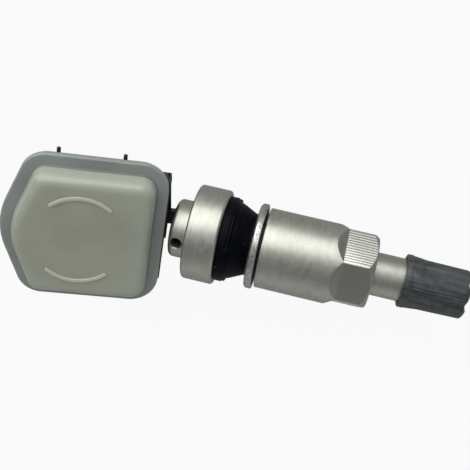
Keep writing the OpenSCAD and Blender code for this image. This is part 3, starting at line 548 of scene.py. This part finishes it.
# nut: collar painted black as shade in the groove, barrel, six milled flats with slanted run-outs; rings
# keep the barrel's faces short
nut = {"x": 7.1, "barrel": 7.55, "collarR": 6.0, "r": 7.4, "hexX": 22.05, "end": 27.75, "across": 12.9,
       "turn": 3.3, "runout": 1.65, "chamfer": 1.1, "bore": 4.61, "boreEnd": 18.7, "mouth": 4.05,
       "edge": 0.09, "rings": (12.0, 16.0, 20.2, 21.4, 22.6, 24.2, 25.6)}
nutSkin = filleted([
    (nut["x"], nut["bore"] + 0.3, 0.05), (nut["x"], nut["collarR"], 0.06),
    (nut["barrel"], nut["collarR"], 0.06), (nut["barrel"], nut["r"], 0.22),
    *((x, nut["r"]) for x in nut["rings"]), (nut["end"] - nut["chamfer"], nut["r"]),
    (nut["end"], nut["r"] - nut["chamfer"], 0.1), (nut["end"], nut["mouth"] + 0.3, 0.08),
    (nut["end"] - 0.35, nut["mouth"]), (nut["boreEnd"] + 0.56, nut["mouth"]),
    (nut["boreEnd"], nut["bore"]), (nut["x"] + 0.3, nut["bore"])])
clampNut = turned("clampNut", nutSkin, 216, True)
flatHeight = nut["across"] / 2  # from the axis to a flat
flatDepth = nut["r"] - flatHeight
flatSide = [(nut["hexX"], flatHeight), (nut["end"] + 1, flatHeight), (nut["end"] + 1, nut["r"] + 1),
            (nut["hexX"] - nut["runout"] * (flatDepth + 1) / flatDepth, nut["r"] + 1)]
flatTurns = [Matrix.Rotation(math.radians(-nut["turn"] - 60 * k), 4, "X") for k in range(6)]
for flatTurn in flatTurns:
    flat = extruded("flatCutter", flatSide, -nut["r"], nut["r"])
    flat.data.transform(flatTurn)
    combine(clampNut, flat)
soften(clampNut.data, 24)


def onHexagon(edge):
    runoutX = (nut["hexX"] - nut["runout"] - 0.2) * mm
    outside = all(end.co.yz.length > nut["collarR"] * mm and end.co.x > runoutX for end in edge.verts)
    return outside and edge.is_manifold and edge.calc_face_angle(0) > math.radians(20)


bevelled(clampNut.data, onHexagon, nut["edge"], 2, clamp_overlap=True)
soften(clampNut.data, 32)
dress(clampNut, "clamp_nut", "nut_metal", "nut")
for made in (makeMaterial("milledNickelPaintedShade", milledMetalPaintedShade, 1.0),
             # painted shade: black for the collar in the groove between washer and barrel
             makeMaterial("grooveShadeBlack", evenSkin((0.004, 0.004, 0.004), (0.012, 0.012, 0.012))),
             makeMaterial("cutNickel", satinMetal((0.26, 0.265, 0.24), (0.33, 0.335, 0.305)), 1.0)):
    clampNut.data.materials.append(made)
milledSlot, collarShadeSlot, runoutSlot = 1, 2, 3
slant = Vector((flatDepth, nut["runout"])).normalized()  # the run-outs' normal
for face in clampNut.data.polygons:
    # painted shade: the collar's faces in the groove take the black
    if face.center.x < (nut["barrel"] + 0.02) * mm and face.center.yz.length < (nut["r"] - 0.1) * mm:
        face.material_index = collarShadeSlot
    for flatTurn in flatTurns:
        out = flatTurn.to_3x3() @ Vector((0, 0, 1))
        if face.normal.dot(out) > 0.999 and abs(face.center.dot(out) - flatHeight * mm) < 0.01 * mm:
            face.material_index = milledSlot
        onSlant = abs(face.normal.dot(out) - slant.y) < 0.004 and abs(face.normal.x - slant.x) < 0.004
        if onSlant and face.center.x < nut["hexX"] * mm:
            face.material_index = runoutSlot
print("nut done")

# dust cap: collar, hollow faces between the ribs, scalloped end, shallow thread inside
cap = {"x": 33.25, "r": 4.85, "endR": 4.66, "length": 11.6, "collar": 1.1, "collarStep": 0.1, "ribs": 6,
       "first": 92.5, "hollowR": 10.0, "hollowDeep": 0.42, "blend": 0.03, "round": 1.3, "roundTurn": 82,
       "scallopR": 1.6, "scallopDeep": 0.65, "scallopBlend": 0.12, "dishR": 1.9, "dishDeep": 0.25,
       "seamAt": 20.0, "seamDeep": 0.2, "seamHalf": 2.3, "bore": 3.87, "mouth": 4.05, "roof": 1.7,
       "threadX": 34.9, "threadEnd": 41.6, "threadDeep": 0.05}
capEnd = cap["x"] + cap["length"]
ribPitch = 2 * math.pi / cap["ribs"]


def softLower(a, b, blend):  # the lower of two values, rounded where they meet
    near = max(blend - abs(a - b), 0.0) / blend
    return min(a, b) - near * near * blend / 4


def fluted(x, limit, share=1.0):  # place and radius with the hollows between the ribs
    base = cap["r"] + (cap["endR"] - cap["r"]) * (x - cap["x"]) / cap["length"]
    centre = base + cap["hollowR"] - cap["hollowDeep"] * share

    def radius(angle):
        off = (angle - math.radians(cap["first"]) + ribPitch / 2) % ribPitch - ribPitch / 2
        hollow = centre * math.cos(off) - math.sqrt(cap["hollowR"] ** 2 - (centre * math.sin(off)) ** 2)
        reach = softLower(limit, hollow, cap["blend"])
        seam = abs(math.degrees(off) + cap["seamAt"]) / cap["seamHalf"]  # groove at one edge of a rib
        if seam < 1:
            reach -= cap["seamDeep"] * share * (1 - seam * seam) ** 2
        across, out = reach * math.sin(off), reach * math.cos(off)
        room = cap["scallopR"] ** 2 - across ** 2
        if room <= 0 or out < cap["dishR"] - 0.2:
            return x, reach
        fade = min(1.0, (out - cap["dishR"] + 0.2) / 0.4)
        scallop = capEnd + cap["scallopR"] - cap["scallopDeep"] * fade - math.sqrt(room)
        return softLower(x, scallop, cap["scallopBlend"]), reach
    return radius


collarEnd = cap["x"] + cap["collar"]
capSkin = filleted([(cap["x"], cap["mouth"] + 0.2), (cap["x"], cap["r"], 0.22), (collarEnd, cap["r"], 0.08),
                    (collarEnd + 0.06, cap["r"] - cap["collarStep"])], 4)
ribStart, ribStop, ribSteps = collarEnd + 0.1, capEnd - cap["round"], 24
for k in range(ribSteps + 1):
    x = ribStart + (ribStop - ribStart) * k / ribSteps
    limit = cap["r"] - cap["collarStep"] + (cap["endR"] - cap["r"] + cap["collarStep"]) * k / ribSteps
    capSkin.append((x, fluted(x, limit, min(1.0, (k + 0.5) / 6))))  # the hollows fade in behind the collar
for k in range(1, 13):
    bend = math.radians(cap["roundTurn"] * k / 12)
    x = ribStop + cap["round"] * math.sin(bend)
    capSkin.append((x, fluted(x, cap["endR"] - cap["round"] * (1 - math.cos(bend)))))
endFaceR = cap["endR"] - cap["round"]
for k in range(1, 7):
    capSkin.append((capEnd, fluted(capEnd, endFaceR - (endFaceR - cap["dishR"] - 0.3) * k / 6)))
dishFloor = capEnd - cap["dishDeep"]
capSkin += [(capEnd - 0.06, cap["dishR"] + 0.12), (dishFloor + 0.05, cap["dishR"] - 0.05),
            (dishFloor, cap["dishR"] - 0.25), (dishFloor, 0)]
capInside = [(capEnd - cap["roof"], 0), (capEnd - cap["roof"], cap["bore"])]
capInside += reversed(thread(cap["threadX"], cap["threadEnd"],
                             cap["bore"], cap["bore"] - cap["threadDeep"], stem["capPitch"]))
capInside += [(cap["threadX"] - 0.25, cap["bore"]), (cap["threadX"] - 0.3, cap["mouth"]),
              (cap["x"] + 0.15, cap["mouth"])]
dustCap = turned("dustCap", capInside + capSkin, 360, False, 24, math.radians(cap["first"]))
dress(dustCap, "dust_cap", "cap_plastic", "cap")
print("dust cap done")


# sensor case: cover and tray share one five-sided outline of tangent arcs
def caseOutline(inset, frontR, backR, noseR):  # each corner: x, y, radius, first and last angle
    half = case["width"] / 2 - inset
    lean = case["lean"]
    angle = math.radians(lean)
    noseX = -case["length"] + inset + noseR
    backX = noseX - (noseR - backR) / math.cos(angle) + math.tan(angle) * (half - backR)
    frontX = -inset - frontR
    return [(frontX, half - frontR, frontR, 0, 90), (backX, half - backR, backR, 90, 180 - lean),
            (noseX, 0, noseR, 180 - lean, 180 + lean), (backX, backR - half, backR, 180 + lean, 270),
            (frontX, frontR - half, frontR, 270, 360)]


def lofted(name, corners, levels, sharp=30):  # levels: height, inset and, inside the last ring, a scale
    points, faces = [], []
    steps, middleX = 14, -13.4
    for height, inset, *scale in levels:
        for x, y, r, first, last in corners:
            for k in range(steps + 1):
                angle = math.radians(first + (last - first) * k / steps)
                px, py = x + (r - inset) * math.cos(angle), y + (r - inset) * math.sin(angle)
                if scale:
                    px, py = middleX + (px - middleX) * scale[0], py * scale[0]
                points.append(onCase(px, py, height))
    count = len(corners) * (steps + 1)
    for k in range(len(levels) - 1):
        for j in range(count):
            after = (j + 1) % count
            faces.append((k * count + j, k * count + after, (k + 1) * count + after, (k + 1) * count + j))
    faces += [tuple(range(count - 1, -1, -1)), tuple(range((len(levels) - 1) * count, len(levels) * count))]
    return makePiece(name, points, faces, sharp)


def quarter(z, inset, r, way, steps=8):  # from the side over to the level face
    angles = [math.pi / 2 * k / steps for k in range(steps + 1)]
    return [(z + way * r * math.sin(angle), inset + r * (1 - math.cos(angle))) for angle in angles]


whole = caseOutline(0, case["frontR"], case["backR"], case["noseR"])

# cover: flange, plateau with a soft crown, two raised arcs
cover = {"flangeW": 2.1, "flangeRound": 0.32, "crease": 0.2, "draft": 0.2, "top": 4.0, "round": 2.0,
         "crown": 0.06, "wall": 1.2, "arcR": 8.05, "arcW": 0.8, "arcH": 0.25, "arcSunk": 0.2,
         "arcHalf": 38.0, "arcFlat": 0.28}  # arcHalf in degrees, a lower arcFlat squares the bars
innerIn = cover["flangeW"] + cover["wall"]
innerTop = cover["top"] - cover["wall"]
levels = [(innerTop, innerIn + cover["draft"] + 0.8), (innerTop - 0.8, innerIn + cover["draft"]),
          (case["seam"], innerIn), (case["seam"], 0.1), (case["seam"] + 0.1, 0.0)]
levels += quarter(-cover["flangeRound"], 0.0, cover["flangeRound"], 1, 5)
levels += [(0.0, cover["flangeW"] - 0.25)]
for k in range(1, 7):
    bend = math.pi / 2 * k / 6
    creaseIn = cover["flangeW"] - cover["crease"] * (1 - math.sin(bend))
    levels += [(cover["crease"] * (1 - math.cos(bend)), creaseIn)]
levels += quarter(cover["top"] - cover["round"], cover["flangeW"] + cover["draft"], cover["round"], 1, 12)
edgeIn = cover["flangeW"] + cover["draft"] + cover["round"]
crownSizes = (0.93, 0.8, 0.6, 0.35, 0.12)
levels += [(cover["top"] + cover["crown"] * (1 - size * size), edgeIn, size) for size in crownSizes]
sensorCover = lofted("sensorCover", whole, levels, 40)


def arcBar(middle):  # a flat-topped bar with round ends, bent round the cell's middle
    half, cross, endSteps, runSteps = cover["arcW"] / 2, 12, 6, 40
    under = cover["top"] - cover["arcSunk"]
    endTurn = math.degrees(half / cover["arcR"])
    sweep = []
    for k in range(endSteps + 1):
        bend = math.pi / 2 * k / endSteps
        sweep.append((-cover["arcHalf"] - endTurn * math.cos(bend), max(0.02, math.sin(bend))))
    sweep += [(-cover["arcHalf"] + 2 * cover["arcHalf"] * k / runSteps, 1.0) for k in range(1, runSteps)]
    sweep += [(-turn, size) for turn, size in reversed(sweep[:endSteps + 1])]
    points, faces = [], []
    for turn, size in sweep:
        spoke = math.radians(middle + turn)
        for k in range(cross + 1):
            around = math.pi * k / cross
            r = cover["arcR"] - half * size * math.cos(around)
            rise = (cover["arcSunk"] + cover["arcH"] * size ** 0.5) * math.sin(around) ** cover["arcFlat"]
            z = under + rise if 0 < k < cross else under
            points.append(onCase(case["cellX"] + r * math.cos(spoke), r * math.sin(spoke), z))
    row = cross + 1
    for k in range(len(sweep) - 1):
        for j in range(row):
            after = (j + 1) % row
            faces.append((k * row + j, k * row + after, (k + 1) * row + after, (k + 1) * row + j))
    faces += [tuple(range(row - 1, -1, -1)), tuple(range((len(sweep) - 1) * row, len(sweep) * row))]
    return makePiece("coverArc", points, faces)


for middle in (90, -90):
    join(sensorCover, arcBar(middle))
soften(sensorCover.data, 34)
dress(sensorCover, "valve", "cover_plastic", "cover")
print("cover done")

# tray: rim with its lugs, rounded belly, front wall with ears, web and neck, tongue under the foot
tray = {"deep": 9.4, "bellyIn": 2.6, "bellyRounds": (5.4, 5.3, 12.0), "bellyTop": -1.9,
        "round": 5.0, "wall": 1.3,
        "pocketIn": 0.4, "pocketDeep": 2.2, "openTop": -0.2,
        "wallBack": -3.575, "wallOut": 0.35, "wallW": 19.6, "wallDeep": 7.0, "wallSoft": 0.18,
        "earBack": -0.3, "earOut": 0.18, "earW": 1.5, "earH": 2.5, "earSoft": 0.2,
        "web": ((-0.4, 9.0), (0.45, 9.0), (1.15, 3.2), (-0.4, 3.2)), "webZ": (-6.95, -4.6),
        "rootOut": 0.95, "rootW": 7.0, "rootR": 4.35, "rootX": -7.6, "rootLow": -9.6, "rootTop": -6.4,
        "neckW": 2.6, "neckX": 0.9, "neckLow": -9.55, "neckTop": -8.2, "bendLow": -9.7, "bendTop": -9.5,
        "tongueW": 4.8, "tongueX": (-9.35, -5.95), "tongueZ": (-5.05, -3.65), "tongueSoft": 0.12,
        "screwR": 1.05, "lugR": 0.35, "lugOut": 0.45, "lugMid": -13.7, "lugSpan": 5.65, "lugRoot": 13.0,
        "portDeep": 10.4, "portWide": 1.9, "portR": 0.6, "portFloor": 1.43, "portEnd": 3.3}
belly = caseOutline(tray["bellyIn"], *tray["bellyRounds"])
bellyBottom = tray["round"] - tray["deep"]
sensorTray = lofted("sensorTray", whole, [
    (case["rimBottom"], case["rimIn"] + 0.15), (case["rimBottom"] + 0.15, case["rimIn"]),
    (case["seam"] - 0.12, case["rimIn"]), (case["seam"], case["rimIn"] + 0.1)])
bellyLevels = quarter(bellyBottom, 0, tray["round"], -1, 10)[::-1] + [(tray["bellyTop"], 0)]
join(sensorTray, lofted("belly", belly, bellyLevels))


def caseBox(name, low, high, soft):  # a box square to the case
    piece = box(name, low, high, soft)
    for vertex in piece.data.vertices:
        vertex.co = Vector(onCase(*(vertex.co / mm))) * mm
    return piece


join(sensorTray, caseBox("frontWall", (tray["wallBack"], -tray["wallW"] / 2, -tray["wallDeep"]),
                         (tray["wallOut"], tray["wallW"] / 2, tray["bellyTop"]), tray["wallSoft"]))
webSides = [(0, 1, 2, 3), (4, 5, 6, 7), (0, 1, 5, 4), (1, 2, 6, 5), (2, 3, 7, 6), (3, 0, 4, 7)]
webCorners = [onCase(x, y, z) for z in tray["webZ"] for x, y in tray["web"]]
join(sensorTray, makePiece("web", webCorners, webSides))
lugReach = case["width"] / 2 + tray["lugOut"] - tray["lugRoot"]
lugSkin = filleted([(0, 0), (0, tray["lugR"]), (lugReach, tray["lugR"], tray["lugR"]), (lugReach, 0)], 4)
for side in (-1, 1):
    y = side * (tray["wallW"] - tray["earW"]) / 2
    earLow = (tray["earBack"], y - tray["earW"] / 2, -tray["wallDeep"])
    earHigh = (tray["wallOut"] + tray["earOut"], y + tray["earW"] / 2, tray["earH"] - tray["wallDeep"])
    join(sensorTray, caseBox("ear", earLow, earHigh, tray["earSoft"]))
    for end in (-1, 1):
        lugAt = onCase(tray["lugMid"] + end * tray["lugSpan"], side * tray["lugRoot"], case["rimBottom"])
        lugAxis = Matrix.Translation(lugAt) @ Matrix.Rotation(side * math.pi / 2, 4, "Z")
        join(sensorTray, turned("lug", lugSkin, 32, axis=lugAxis))
rootSide = [(tray["rootX"], -tray["deep"]), (tray["rootOut"], tray["rootLow"]),
            (tray["rootOut"], tray["rootTop"])]
for degrees in range(-24, -91, -11):  # back inside the belly's round corner
    bend = math.radians(degrees)
    rootSide.append((tray["rootX"] + tray["rootR"] * math.cos(bend),
                     bellyBottom + tray["rootR"] * math.sin(bend)))
join(sensorTray, extruded("tongueRoot", [onCase(x, 0, z)[::2] for x, z in rootSide],
                          -tray["rootW"] / 2, tray["rootW"] / 2))
tongueLow, tongueHigh = tray["tongueZ"]
tongueBack, tongueTip = tray["tongueX"]
neckSide = [onCase(tray["neckX"], 0, tray["neckLow"])[::2], (tray["bendLow"], tongueLow),
            (tongueTip, tongueLow), (tongueTip, tongueHigh), (tray["bendTop"], tongueHigh),
            onCase(tray["neckX"], 0, tray["neckTop"])[::2]]
join(sensorTray, extruded("neck", neckSide, -tray["neckW"] / 2, tray["neckW"] / 2))
join(sensorTray, box("tongue", (tongueBack, -tray["tongueW"] / 2, tongueLow),
                     (tongueTip, tray["tongueW"] / 2, tongueHigh), tray["tongueSoft"]))
cavityLevels = quarter(bellyBottom, tray["wall"], tray["round"] - tray["wall"], -1)[::-1]
combine(sensorTray, lofted("cavity", belly, cavityLevels + [(tray["openTop"], tray["wall"])]))
combine(sensorTray, lofted("boardPocket", belly, [(-tray["pocketDeep"], tray["pocketIn"]),
                                                  (tray["openTop"], tray["pocketIn"])]))
portSkin = [(0, 0), (0, tray["portWide"]), (tray["portFloor"] - 0.43, tray["portWide"]),
            (tray["portFloor"], tray["portWide"] - 0.3), (tray["portFloor"], tray["portR"]),
            (tray["portEnd"], tray["portR"]), (tray["portEnd"], 0)]
portSpot = Matrix.Translation(onCase(case["cellX"], 0, -tray["portDeep"]))
portAxis = portSpot @ Matrix.Rotation(tilt, 4, "Y") @ Matrix.Rotation(-math.pi / 2, 4, "Y")
combine(sensorTray, turned("port", portSkin, 48, axis=portAxis))
screwWay = [(-1, 0), (-1, tray["screwR"]), (2, tray["screwR"]), (2, 0)]  # past both faces of the tongue
combine(sensorTray, turned("screwWay", screwWay, 48, axis=upright(stem["screwX"], 0, tongueLow)))
soften(sensorTray.data, 30)
dress(sensorTray, "valve", "tray_plastic", "housing")
print("tray done")

# CAD nodes that stay as they are only take their finishes
for part in frame["record"]["subparts"]:
    if part["node"] not in dressedNodes:
        for socket in frame["nodes"][part["node"]].material_slots:
            socket.material = finishes[part["material_slot"]]

# floor, lamp and room
studio = {"floorHalf": 3.0, "floorGap": 0.00002, "floorGlow": 0.93, "mirrorGlow": 0.12,
          "paper": (0.5, 0.5, 0.49), "middle": (0.005, 0, 0), "toKey": (-0.30, 0.875, 0.379),
          "keyFar": 0.45, "keySize": 0.56, "keyPower": 1.7, "keyColour": (1.0, 0.995, 0.97),
          "roomColour": (0.98, 1.0, 1.0), "roomLow": 0.28, "roomKey": 0.6, "roomBack": 0.36}
ground = cadBox[0][2] - studio["floorGap"]
half = studio["floorHalf"]
floorCorners = [(-half, -half, ground), (half, -half, ground), (half, half, ground), (-half, half, ground)]
floorMesh = bpy.data.meshes.new("floor")
floorMesh.from_pydata(floorCorners, [], [(0, 1, 2, 3)])
floor = bpy.data.objects.new("floor", floorMesh)
bpy.context.scene.collection.objects.link(floor)
paleFloor = bpy.data.materials.new("paleFloor")
paleFloor.use_nodes = True
shader = Shader(paleFloor.node_tree)
seen, mirrored, through = (shader.node("ShaderNodeLightPath", {}, {}, ray)
                           for ray in ("Is Camera Ray", "Is Glossy Ray", "Is Transmission Ray"))
paper = shader.node("ShaderNodeBsdfDiffuse", {}, {"Color": studio["paper"]})
glow = shader.node("ShaderNodeEmission", {}, {"Color": (1.0, 1.0, 1.0), "Strength": 1.0})
share = seen * studio["floorGlow"] + (mirrored + through) * studio["mirrorGlow"]
mixed = shader.node("ShaderNodeMixShader", {}, {0: share, 1: paper, 2: glow})
shader.node("ShaderNodeOutputMaterial", {}, {"Surface": mixed})
floorMesh.materials.append(paleFloor)

keyLight = bpy.data.lights.new("keyLamp", "AREA")
keyLight.shape = "DISK"
keyLight.size = studio["keySize"]
keyLight.energy = studio["keyPower"]
keyLight.color = studio["keyColour"]
keyLamp = bpy.data.objects.new("keyLamp", keyLight)
bpy.context.scene.collection.objects.link(keyLamp)
toKey = Vector(studio["toKey"]).normalized()
keyLamp.location = Vector(studio["middle"]) + toKey * studio["keyFar"]
keyLamp.rotation_euler = (-toKey).to_track_quat("-Z", "Y").to_euler()

world = bpy.data.worlds.new("studio")
bpy.context.scene.world = world
world.use_nodes = True
shader = Shader(world.node_tree)
direction = shader.node("ShaderNodeTexCoord", {}, {}, "Generated")
facing = shader.node("ShaderNodeVectorMath", {"operation": "DOT_PRODUCT"},
                     {0: direction, 1: tuple(toKey)}, "Value")
keySide = facing.between(0.3, 1.0) * studio["roomKey"]
backSide = (-1 * facing).between(0.0, 0.7) * studio["roomBack"]
room = shader.node("ShaderNodeBackground", {},
                   {"Color": studio["roomColour"], "Strength": keySide + backSide + studio["roomLow"]})
white = shader.node("ShaderNodeBackground", {}, {"Color": (1.0, 1.0, 1.0), "Strength": 1.0})
seen = shader.node("ShaderNodeLightPath", {}, {}, "Is Camera Ray")
mixed = shader.node("ShaderNodeMixShader", {}, {0: seen, 1: room, 2: white})
shader.node("ShaderNodeOutputWorld", {}, {"Surface": mixed})
bpy.context.scene.view_settings.view_transform = "Standard"
print("stage done")
